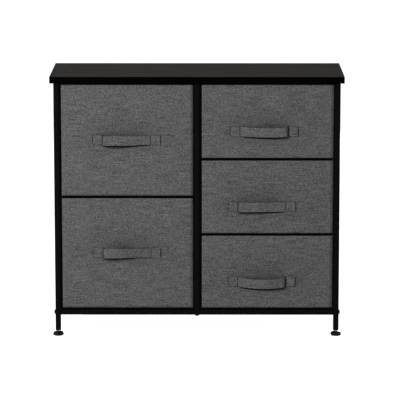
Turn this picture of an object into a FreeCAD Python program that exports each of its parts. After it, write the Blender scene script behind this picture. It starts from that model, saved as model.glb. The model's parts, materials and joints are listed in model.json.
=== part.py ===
import FreeCAD, Part
import os

# Fabric drawer dresser: a black steel tube frame under a laminated board, with two large
# fabric drawers on the left and three smaller ones on the right, on levelling feet.
# Millimetres. X to the right, Y to the back, Z up. The origin is on the floor, under the
# middle of the tabletop.

# Overall, set by the tabletop
WIDTH = 800.0
DEPTH = 300.0
HEIGHT = 720.0

# Tabletop: a board inside a ring of edge band
TOP_THICKNESS = 18.0
EDGE_BAND = 2.0
OVERHANG = 10.0             # of the tabletop past the frame, on all four sides

# Square steel tube of the whole frame
TUBE = 15.0
TUBE_WALL = 1.0
TUBE_CORNER = 3.0           # outside corner radius

# Levels
RAIL_LEVEL = 58.5           # underside of the lower rails above the floor
RAIL_TO_DRAWER = 2.5        # from the lower rails up to the lowest drawers
DRAWER_GAP = 5.0            # between two drawers of a stack
TOP_GAP = 5.0               # between the top drawers and the tabletop

# Drawers
LARGE_DRAWERS = 2           # in the left stack
SMALL_DRAWERS = 3           # in the right stack
DRAWER_RUNNER_GAP = 0.4     # between a drawer and the upright walls of its runners
DRAWER_RECESS = 3.0         # drawer fronts behind the faces of the front posts
FABRIC = 0.8
FRONT_BOARD = 3.0           # fibreboard in the front and the rear wall
SIDE_BOARD = 2.0            # fibreboard in the side walls
BASE_BOARD = 3.0

# Drawer handles: a fabric strap with a sewn patch at each end
HANDLE_LENGTH = 186.0
HANDLE_WIDTH = 28.0         # the strap's height on the drawer front
HANDLE_PATCH = 30.0         # length sewn down at each end
HANDLE_THICKNESS = 2.5
HANDLE_BULGE = 10.0         # finger room behind the middle of the strap
HANDLE_LEVEL_LARGE = 157.0  # middle of the strap above the drawer's underside
HANDLE_LEVEL_SMALL = 76.5
HANDLE_OFF_LARGE = 0.8      # the handles sit left of the drawers' middles: on the large ones,
HANDLE_OFF_TOP = 8.5        # on the top small one,
HANDLE_OFF_LOWER = 14.0     # and on the two small ones below it

# Drawer runners: bent steel angles with an upturned stop at the rear
RUNNER_THICKNESS = 1.2
RUNNER_WIDTH = 16.0         # from the post under the drawer
RUNNER_UPSTAND = 15.0
RUNNER_STOP = 12.0          # height of the stop above the runner
RUNNER_SETBACK = 3.5        # of both ends from the outer faces of the posts

# Frame bolts: button heads with a hex socket, through a tube into a threaded insert
BOLT_RADIUS = 3.0
BOLT_HEAD_RADIUS = 6.25
BOLT_HEAD_HEIGHT = 3.3
BOLT_SOCKET_ACROSS = 4.0
BOLT_SOCKET_DEPTH = 2.0
INSERT_LENGTH = 20.0
INSERT_CLEARANCE = 0.1      # all round, inside the tube
THREAD_CLEARANCE = 0.05     # on the radius, where a thread runs in its nut or its board
HOLE_CLEARANCE = 0.25       # on the radius, where a bolt passes through a tube

# Tabletop screws, up through the depthwise bars into the board
SCREW_RADIUS = 2.5
SCREW_HEAD_RADIUS = 5.0
SCREW_HEAD_HEIGHT = 3.0
SCREW_BITE = 11.0           # length in the board
SCREW_INSET = 45.0          # from the ends of the bars

# Levelling feet
PAD_RADIUS = 14.0
PAD_HEIGHT = 11.0
PAD_RIM = 5.5               # height of the pad's rim
PAD_HUB_RADIUS = 6.5
PAD_EDGE = 1.2              # rounding of the rim
STUD_RADIUS = 4.0
STUD_FLOOR = 3.0            # plastic left under the stud
STUD_SHOWN = 4.0            # thread between the pad and the leg plug
STUD_TOP = 40.0             # end of the stud above the floor
STUD_CLEARANCE = 0.3        # on the radius, where the stud runs in the leg plug
PLUG_FLANGE = 4.5
PLUG_LENGTH = 22.0          # inside the leg
PLUG_CORNER = 2.0

SOFT_CLEARANCE = 0.3        # between a fabric drawer and the steel that carries or stops it

# Worked out from the above
frame_x = WIDTH / 2 - OVERHANG
frame_y = DEPTH / 2 - OVERHANG
frame_top = HEIGHT - TOP_THICKNESS
bay_x = frame_x - TUBE                  # inner faces of the side posts
bay_y = frame_y - TUBE                  # inner faces of the front and rear posts
post_x = frame_x - TUBE / 2             # centre lines of the side posts
post_y = frame_y - TUBE / 2             # and of the front and rear posts
rail_top = RAIL_LEVEL + TUBE
rail_z = RAIL_LEVEL + TUBE / 2
top_rail_z = frame_top - TUBE / 2
plug_bottom = PAD_HEIGHT + STUD_SHOWN
leg_bottom = plug_bottom + PLUG_FLANGE
first_level = rail_top + RAIL_TO_DRAWER
stack_height = frame_top - TOP_GAP - first_level
drawer_width = bay_x - TUBE / 2 - 2 * (RUNNER_THICKNESS + DRAWER_RUNNER_GAP)
drawer_x = (bay_x + TUBE / 2) / 2       # middle of each bay
drawer_front = -frame_y + DRAWER_RECESS
drawer_rear = bay_y - SOFT_CLEARANCE
wall_y = 2 * FABRIC + FRONT_BOARD       # whole thickness of a front or rear wall
wall_x = 2 * FABRIC + SIDE_BOARD        # and of a side wall
tube_inside = TUBE - 2 * TUBE_WALL

UP = FreeCAD.Vector(0, 0, 1)
RIGHT = FreeCAD.Vector(1, 0, 0)
BACK = FreeCAD.Vector(0, 1, 0)


def vec(x, y, z):
    return FreeCAD.Vector(x, y, z)


def box(x0, x1, y0, y1, z0, z1):
    return Part.makeBox(x1 - x0, y1 - y0, z1 - z0, vec(x0, y0, z0))


def stand_along(shape, start, direction):
    """Turn a shape that stands on the origin along +Z to start at a point and run along a direction."""
    shape.Placement = FreeCAD.Placement(start, FreeCAD.Rotation(UP, direction))
    return shape


def rounded_bar(side, corner, length):
    """Square bar along +Z with four rounded long edges."""
    bar = box(-side / 2, side / 2, -side / 2, side / 2, 0, length)
    long_edges = [edge for edge in bar.Edges if abs(edge.BoundBox.ZLength - length) < 1e-6
                  and edge.BoundBox.XLength < 1e-6 and edge.BoundBox.YLength < 1e-6]
    return bar.makeFillet(corner, long_edges)


def square_tube(start, direction, length):
    """Frame tube whose centre line starts at a point."""
    outer = rounded_bar(TUBE, TUBE_CORNER, length)
    inner = rounded_bar(tube_inside, TUBE_CORNER - TUBE_WALL, length)
    return stand_along(outer.cut(inner), start, direction)


def rod(radius, start, direction, length):
    return Part.makeCylinder(radius, length, start, direction)


def bolt_hole(start, direction):
    """Clearance hole right through one tube, from the face where the bolt's head sits."""
    return rod(BOLT_RADIUS + HOLE_CLEARANCE, start, direction, TUBE)


# Tabletop

def screw_places():
    """Where the tabletop screws come up through the depthwise bars."""
    along = bay_y - SCREW_INSET
    return [(x, y) for x in (-post_x, 0, post_x) for y in (-along, along)]


def tabletop():
    board = box(-WIDTH / 2 + EDGE_BAND, WIDTH / 2 - EDGE_BAND,
                -DEPTH / 2 + EDGE_BAND, DEPTH / 2 - EDGE_BAND, frame_top, HEIGHT)
    for x, y in screw_places():
        pilot = rod(SCREW_RADIUS + THREAD_CLEARANCE, vec(x, y, frame_top), UP, SCREW_BITE)
        board = board.cut(pilot)
    return board


def tabletop_edge_band():
    ring = box(-WIDTH / 2, WIDTH / 2, -DEPTH / 2, DEPTH / 2, frame_top, HEIGHT)
    board = box(-WIDTH / 2 + EDGE_BAND, WIDTH / 2 - EDGE_BAND,
                -DEPTH / 2 + EDGE_BAND, DEPTH / 2 - EDGE_BAND, frame_top, HEIGHT)
    return ring.cut(board)


def tabletop_screws():
    screws = []
    for x, y in screw_places():
        head_top = frame_top - TUBE
        head = rod(SCREW_HEAD_RADIUS, vec(x, y, head_top - SCREW_HEAD_HEIGHT), UP, SCREW_HEAD_HEIGHT)
        shank = rod(SCREW_RADIUS, vec(x, y, head_top), UP, TUBE + SCREW_BITE)
        screws.append(head.fuse(shank))
    return Part.makeCompound(screws)


# Frame

def side_post(side, y):
    """Post with a leg. The bolts of the lower rail, and of the rear top rail, pass through it."""
    post = square_tube(vec(side * post_x, y, leg_bottom), UP, frame_top - leg_bottom)
    levels = [rail_z] if y < 0 else [rail_z, top_rail_z]
    for z in levels:
        post = post.cut(bolt_hole(vec(side * frame_x, y, z), RIGHT * -side))
    return post


def middle_post(y):
    """Post between the stacks, standing on a lower rail."""
    post = square_tube(vec(0, y, rail_top), UP, frame_top - rail_top)
    if y > 0:
        post = post.cut(bolt_hole(vec(-TUBE / 2, y, top_rail_z), RIGHT))
    return post


def crossbars(x, lower_z):
    """Upper and lower depthwise bars between a front and a rear post."""
    upper = square_tube(vec(x, -bay_y, top_rail_z), BACK, 2 * bay_y)
    for screw_x, y in screw_places():
        if screw_x == x:
            hole = rod(SCREW_RADIUS + HOLE_CLEARANCE, vec(x, y, frame_top - TUBE), UP, TUBE)
            upper = upper.cut(hole)
    lower = square_tube(vec(x, -bay_y, lower_z), BACK, 2 * bay_y)
    return Part.makeCompound([upper, lower])


def lower_rail(y):
    """Long rail between two side posts, with the hole for the bolt up into the middle post."""
    rail = square_tube(vec(-bay_x, y, rail_z), RIGHT, 2 * bay_x)
    return rail.cut(bolt_hole(vec(0, y, RAIL_LEVEL), UP))


def rear_top_rails():
    """Two halves, one each side of the middle rear post."""
    length = bay_x - TUBE / 2
    left = square_tube(vec(-bay_x, post_y, top_rail_z), RIGHT, length)
    right = square_tube(vec(TUBE / 2, post_y, top_rail_z), RIGHT, length)
    return Part.makeCompound([left, right])


def runner(side, wall_at, level):
    """Angle welded to the posts' faces at wall_at. side is the way in which it reaches inwards."""
    def span(near, far):
        return sorted((wall_at + side * near, wall_at + side * far))

    front = -frame_y + RUNNER_SETBACK
    top = level - SOFT_CLEARANCE
    under = top - RUNNER_THICKNESS
    foot = box(*span(0, RUNNER_WIDTH), front, bay_y + RUNNER_THICKNESS, under, top)
    wall = box(*span(0, RUNNER_THICKNESS), front, frame_y - RUNNER_SETBACK, under, under + RUNNER_UPSTAND)
    stop = box(*span(0, RUNNER_WIDTH), bay_y, bay_y + RUNNER_THICKNESS, under, top + RUNNER_STOP)
    return foot.fuse([wall, stop]).removeSplitter()


def runners(side, wall_at, levels):
    return [runner(side, wall_at, level) for level in levels]


# Fasteners

def tube_inserts():
    """Threaded inserts in the ends of the rails and in the feet of the middle posts."""
    side = tube_inside - 2 * INSERT_CLEARANCE
    corner = TUBE_CORNER - TUBE_WALL
    places = []
    for y in (-post_y, post_y):
        places.append((vec(0, y, rail_top), UP))
        for s in (-1, 1):
            places.append((vec(s * bay_x, y, rail_z), RIGHT * -s))
    for s in (-1, 1):
        places.append((vec(s * bay_x, post_y, top_rail_z), RIGHT * -s))
        places.append((vec(s * TUBE / 2, post_y, top_rail_z), RIGHT * s))
    inserts = []
    for start, direction in places:
        body = stand_along(rounded_bar(side, corner, INSERT_LENGTH), start, direction)
        inserts.append(body.cut(rod(BOLT_RADIUS + THREAD_CLEARANCE, start, direction, INSERT_LENGTH)))
    return Part.makeCompound(inserts)


def frame_bolt(seat, direction):
    """Button-head bolt with its head outside seat and its shank along a direction."""
    rim = BOLT_HEAD_HEIGHT / 3
    outline = [vec(0, 0, 0), vec(BOLT_HEAD_RADIUS, 0, 0), vec(BOLT_HEAD_RADIUS, 0, -rim)]
    crown = vec(BOLT_HEAD_RADIUS * 0.55, 0, -BOLT_HEAD_HEIGHT)
    bend = vec(BOLT_HEAD_RADIUS * 0.86, 0, -BOLT_HEAD_HEIGHT * 0.78)
    edges = [Part.makeLine(outline[0], outline[1]), Part.makeLine(outline[1], outline[2]),
             Part.Arc(outline[2], bend, crown).toShape(),
             Part.makeLine(crown, vec(0, 0, -BOLT_HEAD_HEIGHT)),
             Part.makeLine(vec(0, 0, -BOLT_HEAD_HEIGHT), outline[0])]
    head = Part.Face(Part.Wire(edges)).revolve(vec(0, 0, 0), UP, 360)
    corners = [FreeCAD.Rotation(UP, 60 * i).multVec(vec(BOLT_SOCKET_ACROSS / 3 ** 0.5, 0, -BOLT_HEAD_HEIGHT))
               for i in range(7)]
    socket = Part.Face(Part.makePolygon(corners)).extrude(UP * BOLT_SOCKET_DEPTH)
    shank = rod(BOLT_RADIUS, vec(0, 0, 0), UP, TUBE + INSERT_LENGTH)
    return stand_along(head.cut(socket).fuse(shank), seat, direction)


def frame_bolts():
    bolts = []
    for s in (-1, 1):
        for y in (-post_y, post_y):
            bolts.append(frame_bolt(vec(s * frame_x, y, rail_z), RIGHT * -s))
        bolts.append(frame_bolt(vec(s * frame_x, post_y, top_rail_z), RIGHT * -s))
    for y in (-post_y, post_y):
        bolts.append(frame_bolt(vec(0, y, RAIL_LEVEL), UP))
    return Part.makeCompound(bolts)


def rear_rail_stud():
    """Threaded rod through the middle rear post that pulls the two rear top rails together."""
    half = TUBE / 2 + INSERT_LENGTH
    return rod(BOLT_RADIUS, vec(-half, post_y, top_rail_z), RIGHT, 2 * half)


# Feet

def leg_plug(x, y):
    body = rounded_bar(tube_inside, TUBE_CORNER - TUBE_WALL, PLUG_LENGTH)
    flange = rounded_bar(TUBE, PLUG_CORNER, PLUG_FLANGE)
    body.translate(vec(x, y, leg_bottom))
    flange.translate(vec(x, y, plug_bottom))
    bore = rod(STUD_RADIUS + STUD_CLEARANCE, vec(x, y, plug_bottom), UP, PLUG_FLANGE + PLUG_LENGTH)
    return flange.fuse(body).cut(bore)


def foot_pad(x, y):
    """Round pad with a rounded rim that tapers up to a hub around the stud."""
    shoulder = vec((PAD_RADIUS + PAD_HUB_RADIUS) / 2 + 1, 0, PAD_RIM + (PAD_HEIGHT - PAD_RIM) * 0.32)
    rim_top = vec(PAD_RADIUS, 0, PAD_RIM)
    hub_top = vec(PAD_HUB_RADIUS, 0, PAD_HEIGHT)
    edges = [Part.makeLine(vec(0, 0, 0), vec(PAD_RADIUS, 0, 0)),
             Part.makeLine(vec(PAD_RADIUS, 0, 0), rim_top),
             Part.Arc(rim_top, shoulder, hub_top).toShape(),
             Part.makeLine(hub_top, vec(0, 0, PAD_HEIGHT)),
             Part.makeLine(vec(0, 0, PAD_HEIGHT), vec(0, 0, 0))]
    pad = Part.Face(Part.Wire(edges)).revolve(vec(0, 0, 0), UP, 360)
    rim_edges = [edge for edge in pad.Edges if edge.Closed and edge.BoundBox.XMax > PAD_RADIUS - 0.01]
    pad = pad.makeFillet(PAD_EDGE, rim_edges)
    pad = pad.cut(rod(STUD_RADIUS, vec(0, 0, STUD_FLOOR), UP, PAD_HEIGHT))
    pad.translate(vec(x, y, 0))
    return pad


def foot_stud(x, y):
    return rod(STUD_RADIUS, vec(x, y, STUD_FLOOR), UP, STUD_TOP - STUD_FLOOR)


# Drawers

def drawer_cover(x, level, high):
    """Sewn bag: the outer skin with its hem over the boards, and the lining inside them."""
    left = x - drawer_width / 2
    right = x + drawer_width / 2
    top = level + high
    skin = box(left, right, drawer_front, drawer_rear, level, top)
    room = box(left + FABRIC, right - FABRIC, drawer_front + FABRIC, drawer_rear - FABRIC,
               level + FABRIC, top - FABRIC)
    mouth = box(left + wall_x, right - wall_x, drawer_front + wall_y, drawer_rear - wall_y,
                level + FABRIC, top)
    base = level + FABRIC + BASE_BOARD
    lining = box(left + wall_x - FABRIC, right - wall_x + FABRIC,
                 drawer_front + wall_y - FABRIC, drawer_rear - wall_y + FABRIC, base, top - FABRIC)
    inside = box(left + wall_x, right - wall_x, drawer_front + wall_y, drawer_rear - wall_y,
                 base + FABRIC, top)
    return Part.makeCompound([skin.cut(room).cut(mouth), lining.cut(inside)])


def drawer_wall_board(x, level, high, y0):
    """Board in the front or rear wall, as wide as the bag inside."""
    return box(x - drawer_width / 2 + FABRIC, x + drawer_width / 2 - FABRIC,
               y0, y0 + FRONT_BOARD, level + FABRIC, level + high - FABRIC)


def drawer_side_boards(x, level, high):
    boards = []
    for s in (-1, 1):
        outer = x + s * (drawer_width / 2 - FABRIC)
        x0, x1 = sorted((outer, outer - s * SIDE_BOARD))
        boards.append(box(x0, x1, drawer_front + FABRIC + FRONT_BOARD, drawer_rear - FABRIC - FRONT_BOARD,
                          level + FABRIC, level + high - FABRIC))
    return Part.makeCompound(boards)


def drawer_base_board(x, level):
    inset = FABRIC + SIDE_BOARD
    return box(x - drawer_width / 2 + inset, x + drawer_width / 2 - inset,
               drawer_front + FABRIC + FRONT_BOARD, drawer_rear - FABRIC - FRONT_BOARD,
               level + FABRIC, level + FABRIC + BASE_BOARD)


def drawer_handle(x, z):
    """Strap whose middle bows out from the drawer front between its two sewn patches."""
    end = HANDLE_LENGTH / 2
    sewn = end - HANDLE_PATCH

    def at(px, out):
        return vec(x + px, drawer_front - out, z - HANDLE_WIDTH / 2)

    inner = Part.Arc(at(-sewn, 0), at(0, HANDLE_BULGE), at(sewn, 0)).toShape()
    outer = Part.Arc(at(sewn, HANDLE_THICKNESS), at(0, HANDLE_BULGE + HANDLE_THICKNESS),
                     at(-sewn, HANDLE_THICKNESS)).toShape()
    edges = [Part.makeLine(at(-end, 0), at(-sewn, 0)), inner,
             Part.makeLine(at(sewn, 0), at(end, 0)),
             Part.makeLine(at(end, 0), at(end, HANDLE_THICKNESS)),
             Part.makeLine(at(end, HANDLE_THICKNESS), at(sewn, HANDLE_THICKNESS)), outer,
             Part.makeLine(at(-sewn, HANDLE_THICKNESS), at(-end, HANDLE_THICKNESS)),
             Part.makeLine(at(-end, HANDLE_THICKNESS), at(-end, 0))]
    return Part.Face(Part.Wire(edges)).extrude(UP * HANDLE_WIDTH)


def drawer_levels(count):
    """Underside of each drawer in a stack, lowest first, and their height."""
    high = (stack_height - (count - 1) * DRAWER_GAP) / count
    return [first_level + i * (high + DRAWER_GAP) for i in range(count)], high


def drawer_nodes(name, x, level, high, handle_x, handle_level):
    return {
        name + "_cover": drawer_cover(x, level, high),
        name + "_front_board": drawer_wall_board(x, level, high, drawer_front + FABRIC),
        name + "_rear_board": drawer_wall_board(x, level, high, drawer_rear - FABRIC - FRONT_BOARD),
        name + "_side_boards": drawer_side_boards(x, level, high),
        name + "_base_board": drawer_base_board(x, level),
        name + "_handle": drawer_handle(handle_x, level + handle_level),
    }


def all_nodes():
    large_levels, large_high = drawer_levels(LARGE_DRAWERS)
    small_levels, small_high = drawer_levels(SMALL_DRAWERS)
    half = TUBE / 2
    nodes = {
        "tabletop": tabletop(),
        "tabletop_edge_band": tabletop_edge_band(),
        "tabletop_screws": tabletop_screws(),
        "left_front_post": side_post(-1, -post_y),
        "left_rear_post": side_post(-1, post_y),
        "right_front_post": side_post(1, -post_y),
        "right_rear_post": side_post(1, post_y),
        "middle_front_post": middle_post(-post_y),
        "middle_rear_post": middle_post(post_y),
        "left_crossbars": crossbars(-post_x, rail_z),
        "middle_crossbars": crossbars(0, rail_top + half),
        "right_crossbars": crossbars(post_x, rail_z),
        "front_bottom_rail": lower_rail(-post_y),
        "rear_bottom_rail": lower_rail(post_y),
        "rear_top_rails": rear_top_rails(),
        "left_runners": Part.makeCompound(runners(1, -bay_x, large_levels)),
        "middle_runners": Part.makeCompound(runners(-1, -half, large_levels)
                                            + runners(1, half, small_levels)),
        "right_runners": Part.makeCompound(runners(-1, bay_x, small_levels)),
        "tube_inserts": tube_inserts(),
        "frame_bolts": frame_bolts(),
        "rear_rail_stud": rear_rail_stud(),
        "leg_plugs": Part.makeCompound([leg_plug(x, y) for x in (-post_x, post_x)
                                        for y in (-post_y, post_y)]),
    }
    for side, x in (("left", -post_x), ("right", post_x)):
        for end, y in (("front", -post_y), ("rear", post_y)):
            nodes[side + "_" + end + "_foot_pad"] = foot_pad(x, y)
            nodes[side + "_" + end + "_foot_stud"] = foot_stud(x, y)
    for i, level in enumerate(large_levels):
        name = "left_" + ("top" if i == LARGE_DRAWERS - 1 else "bottom") + "_drawer"
        nodes.update(drawer_nodes(name, -drawer_x, level, large_high,
                                  -drawer_x - HANDLE_OFF_LARGE, HANDLE_LEVEL_LARGE))
    for i, level in enumerate(small_levels):
        place = "top" if i == SMALL_DRAWERS - 1 else ("bottom" if i == 0 else "middle")
        shift = HANDLE_OFF_TOP if place == "top" else HANDLE_OFF_LOWER
        nodes.update(drawer_nodes("right_" + place + "_drawer", drawer_x, level, small_high,
                                  drawer_x - shift, HANDLE_LEVEL_SMALL))
    return nodes


os.makedirs("parts", exist_ok=True)
for node, shape in all_nodes().items():
    shape.exportStep("parts/" + node + ".step")
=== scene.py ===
import json
import math

import bmesh
import bpy
from mathutils import Matrix, Vector, geometry, noise
from mathutils.bvhtree import BVHTree

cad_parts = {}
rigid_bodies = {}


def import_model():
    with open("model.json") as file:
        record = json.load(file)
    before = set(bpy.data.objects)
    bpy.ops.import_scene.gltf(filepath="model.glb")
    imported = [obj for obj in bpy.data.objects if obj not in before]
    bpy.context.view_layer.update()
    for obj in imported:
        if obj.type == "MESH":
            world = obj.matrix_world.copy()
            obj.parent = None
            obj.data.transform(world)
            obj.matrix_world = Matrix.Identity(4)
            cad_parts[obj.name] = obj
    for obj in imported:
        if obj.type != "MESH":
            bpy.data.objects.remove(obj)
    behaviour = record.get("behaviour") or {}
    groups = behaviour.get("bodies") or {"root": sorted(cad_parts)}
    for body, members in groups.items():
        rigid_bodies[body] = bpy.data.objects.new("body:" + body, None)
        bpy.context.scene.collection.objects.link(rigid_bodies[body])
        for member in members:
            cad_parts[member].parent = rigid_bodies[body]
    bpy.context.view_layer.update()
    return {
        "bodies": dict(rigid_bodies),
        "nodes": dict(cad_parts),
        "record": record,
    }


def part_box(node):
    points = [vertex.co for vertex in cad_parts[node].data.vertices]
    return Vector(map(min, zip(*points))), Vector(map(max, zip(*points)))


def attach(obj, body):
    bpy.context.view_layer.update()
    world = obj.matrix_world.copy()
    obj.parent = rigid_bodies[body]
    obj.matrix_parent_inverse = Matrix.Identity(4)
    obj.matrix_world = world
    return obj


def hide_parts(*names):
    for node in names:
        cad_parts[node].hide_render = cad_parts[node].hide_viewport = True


# Fabric drawer dresser. Metres, X to the right, Y to the back, Z up.
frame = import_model()
nodes = frame["nodes"]
mm = 0.001
drawers = [body for body in frame["bodies"] if body.endswith("_drawer")]
feet = [body for body in frame["bodies"] if body.endswith("_foot")]


def linear(hexColour):
    # sRGB hex to the linear colour that the shaders take
    parts = [int(hexColour[i:i + 2], 16) / 255 for i in (1, 3, 5)]
    return [p / 12.92 if p <= 0.04045 else ((p + 0.055) / 1.055) ** 2.4 for p in parts] + [1.0]


def addNode(tree, kind, settings=None, links=None):
    # a settings key is one of the node's own options, or the name or number of an input
    node = tree.nodes.new(kind)
    for key, value in (settings or {}).items():
        if isinstance(key, str) and hasattr(node, key):
            setattr(node, key, value)
        else:
            node.inputs[key].default_value = value
    for key, source in (links or {}).items():
        tree.links.new(source, node.inputs[key])
    return node


def startMaterial(name, colour, roughness, specular=0.5, metallic=0.0):
    material = bpy.data.materials.new(name)
    material.use_nodes = True
    shader = material.node_tree.nodes["Principled BSDF"]
    shader.inputs["Base Color"].default_value = linear(colour)
    shader.inputs["Roughness"].default_value = roughness
    shader.inputs["Specular IOR Level"].default_value = specular
    shader.inputs["Metallic"].default_value = metallic
    return material, material.node_tree, shader


def objectPlace(tree):
    return addNode(tree, "ShaderNodeTexCoord").outputs["Object"]


def clothPlace(tree):
    return addNode(tree, "ShaderNodeUVMap", {"uv_map": "clothUv"}).outputs[0]


def addMath(tree, operation, *values):
    # each value is a number or a socket
    node = addNode(tree, "ShaderNodeMath", {"operation": operation})
    for i, value in enumerate(values):
        if isinstance(value, (int, float)):
            node.inputs[i].default_value = value
        else:
            tree.links.new(value, node.inputs[i])
    return node.outputs[0]


def addNoise(tree, place, scale, detail, more=None):
    settings = {"Scale": scale, "Detail": detail, **(more or {})}
    return addNode(tree, "ShaderNodeTexNoise", settings, {"Vector": place}).outputs[0]


def spread(tree, value, low, high):
    # stretches the part of a value between low and high to 0 and 1
    return addNode(tree, "ShaderNodeMapRange", {1: low, 2: high}, {0: value}).outputs[0]


def mixValues(tree, share, first, second):
    return addNode(tree, "ShaderNodeMix", {"data_type": "FLOAT", 0: share}, {2: first, 3: second}).outputs[0]


def mixColours(tree, dark, light, share):
    settings = {"data_type": "RGBA", 6: linear(dark), 7: linear(light)}
    return addNode(tree, "ShaderNodeMix", settings, {0: share}).outputs[2]


def varyRoughness(tree, shader, smooth, rough, share):
    mapped = addNode(tree, "ShaderNodeMapRange", {3: smooth, 4: rough}, {0: share})
    tree.links.new(mapped.outputs[0], shader.inputs["Roughness"])


def raiseSurface(tree, shader, strength, distance, height):
    bump = addNode(tree, "ShaderNodeBump", {"Strength": strength, "Distance": distance}, {"Height": height})
    tree.links.new(bump.outputs[0], shader.inputs["Normal"])


def clothUv(bm):
    # lays the cloth's pattern flat on each face, in metres, so that threads keep their size
    layer = bm.loops.layers.uv.new("clothUv")
    bm.normal_update()
    for face in bm.faces:
        n = face.normal
        for loop in face.loops:
            co = loop.vert.co
            if abs(n.y) >= abs(n.x) and abs(n.y) >= abs(n.z):
                loop[layer].uv = (co.x, co.z)
            elif abs(n.x) >= abs(n.z):
                loop[layer].uv = (co.y, co.z)
            else:
                loop[layer].uv = (co.x, co.y)


def finishPiece(bm, name, material, body, stoodFor=(), creaseAngle=40):
    mesh = bpy.data.meshes.new(name)
    for face in bm.faces:
        face.smooth = True
    bm.to_mesh(mesh)
    bm.free()
    mesh.set_sharp_from_angle(angle=math.radians(creaseAngle))
    for each in (material if isinstance(material, list) else [material]):
        mesh.materials.append(each)
    piece = bpy.data.objects.new(name, mesh)
    bpy.context.scene.collection.objects.link(piece)
    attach(piece, body)
    if stoodFor:
        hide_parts(*stoodFor)
    return piece


def boxBmesh(low, high):
    bm = bmesh.new()
    place = Matrix.Translation((low + high) / 2) @ Matrix.Diagonal((*(high - low), 1))
    bmesh.ops.create_cube(bm, size=1, matrix=place)
    return bm


def isSharp(edge):
    # more than a radian between its faces: a real corner, not a rounding or a cut across a flat face
    return edge.calc_face_angle(0) > 1


def roundEdges(bm, edges, width, segments):
    bmesh.ops.bevel(bm, geom=edges, offset=width, offset_type="OFFSET", segments=segments,
                    profile=0.5, affect="EDGES", clamp_overlap=True, material=-1)


# Materials
print("materials")

linen = {
    "colour": "#545454", "darkYarn": "#080809", "lightYarn": "#787878",
    "yarn": 2.4 * mm,       # real yarns are 0.5 mm apart, drawn coarser so that they show
    "slub": 60 * mm,        # length of a thick place in a weft yarn
    "warpSlub": 12 * mm,
    "fleck": 2.4 * mm,      # heathered flecks of yarn, as coarse as the yarns
    "warpShare": 0.28,      # the thicker weft lies mostly on top of the warp
    "fleckShare": 0.5,      # of the face's tone, beside the tone of each crossing
    "faceShare": 0.74,      # of the whole tone, beside the streaks of the yarns
    "weaveDepth": 0.35,     # beside the height that the tone gives
    "bump": 0.25 * mm,
}


def linenMaterial(name):
    # linen-look polyester, plain woven from heathered yarn: dull, flecked, with level streaks
    material, tree, shader = startMaterial(name, linen["colour"], roughness=0.9, specular=0.12)
    shader.inputs["Sheen Weight"].default_value = 0.06
    shader.inputs["Sheen Roughness"].default_value = 0.4
    uv = clothPlace(tree)
    level, upright = addNode(tree, "ShaderNodeSeparateXYZ", links={0: uv}).outputs[:2]
    across = addMath(tree, "DIVIDE", level, linen["yarn"])
    along = addMath(tree, "DIVIDE", upright, linen["yarn"])
    column = addMath(tree, "FLOOR", across)
    row = addMath(tree, "FLOOR", along)
    # each yarn has thick and thin places of its own along its length
    weftRun = addMath(tree, "DIVIDE", level, linen["slub"])
    warpRun = addMath(tree, "DIVIDE", upright, linen["warpSlub"])
    weftPlace = addNode(tree, "ShaderNodeCombineXYZ", links={0: weftRun, 1: row}).outputs[0]
    warpPlace = addNode(tree, "ShaderNodeCombineXYZ", links={0: column, 1: warpRun}).outputs[0]
    weft = addNoise(tree, weftPlace, scale=1.0, detail=1.0)
    warp = addNoise(tree, warpPlace, scale=1.0, detail=1.0)
    yarnTone = spread(tree, mixValues(tree, linen["warpShare"], weft, warp), low=0.36, high=0.64)
    fleck = addNoise(tree, uv, 1 / linen["fleck"], detail=2.0, more={"Roughness": 0.75})
    fleckTone = spread(tree, fleck, low=0.42, high=0.58)
    # heathered yarn shows a tone of its own wherever it comes to the face between two others
    place = addNode(tree, "ShaderNodeCombineXYZ", links={0: column, 1: row}).outputs[0]
    crossing = addNode(tree, "ShaderNodeTexWhiteNoise", {"noise_dimensions": "2D"},
                       {"Vector": place}).outputs["Value"]
    faceTone = mixValues(tree, linen["fleckShare"], crossing, fleckTone)
    tone = mixValues(tree, linen["faceShare"], yarnTone, faceTone)
    colour = mixColours(tree, linen["darkYarn"], linen["lightYarn"], tone)
    # painted shade: the cloth is darkened above and below the handle, where the strap and the cloth round it
    # shade it
    paintedShade = addNode(tree, "ShaderNodeAttribute", {"attribute_name": "paintedHandleShade"}).outputs["Fac"]
    left = addMath(tree, "SUBTRACT", 1.0, paintedShade)
    shadedColour = addNode(tree, "ShaderNodeVectorMath", {"operation": "SCALE"}, {0: colour, "Scale": left})
    tree.links.new(shadedColour.outputs[0], shader.inputs["Base Color"])
    # round yarns that dip under each other
    waves = [addMath(tree, "SINE", addMath(tree, "MULTIPLY", run, math.pi)) for run in (across, along)]
    weave = addMath(tree, "MULTIPLY", *waves)
    raised = addMath(tree, "MULTIPLY_ADD", weave, linen["weaveDepth"], tone)
    raiseSurface(tree, shader, strength=0.5, distance=linen["bump"], height=raised)
    return material


nonWoven = {
    "colour": "#262627", "dark": "#1a1a1b", "light": "#323234",
    "dot": 2.2 * mm,        # real bond points are 1 mm apart, drawn coarser so that they show
    "fibre": 1.1 * mm,
    "bump": 0.25 * mm,
}


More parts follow.
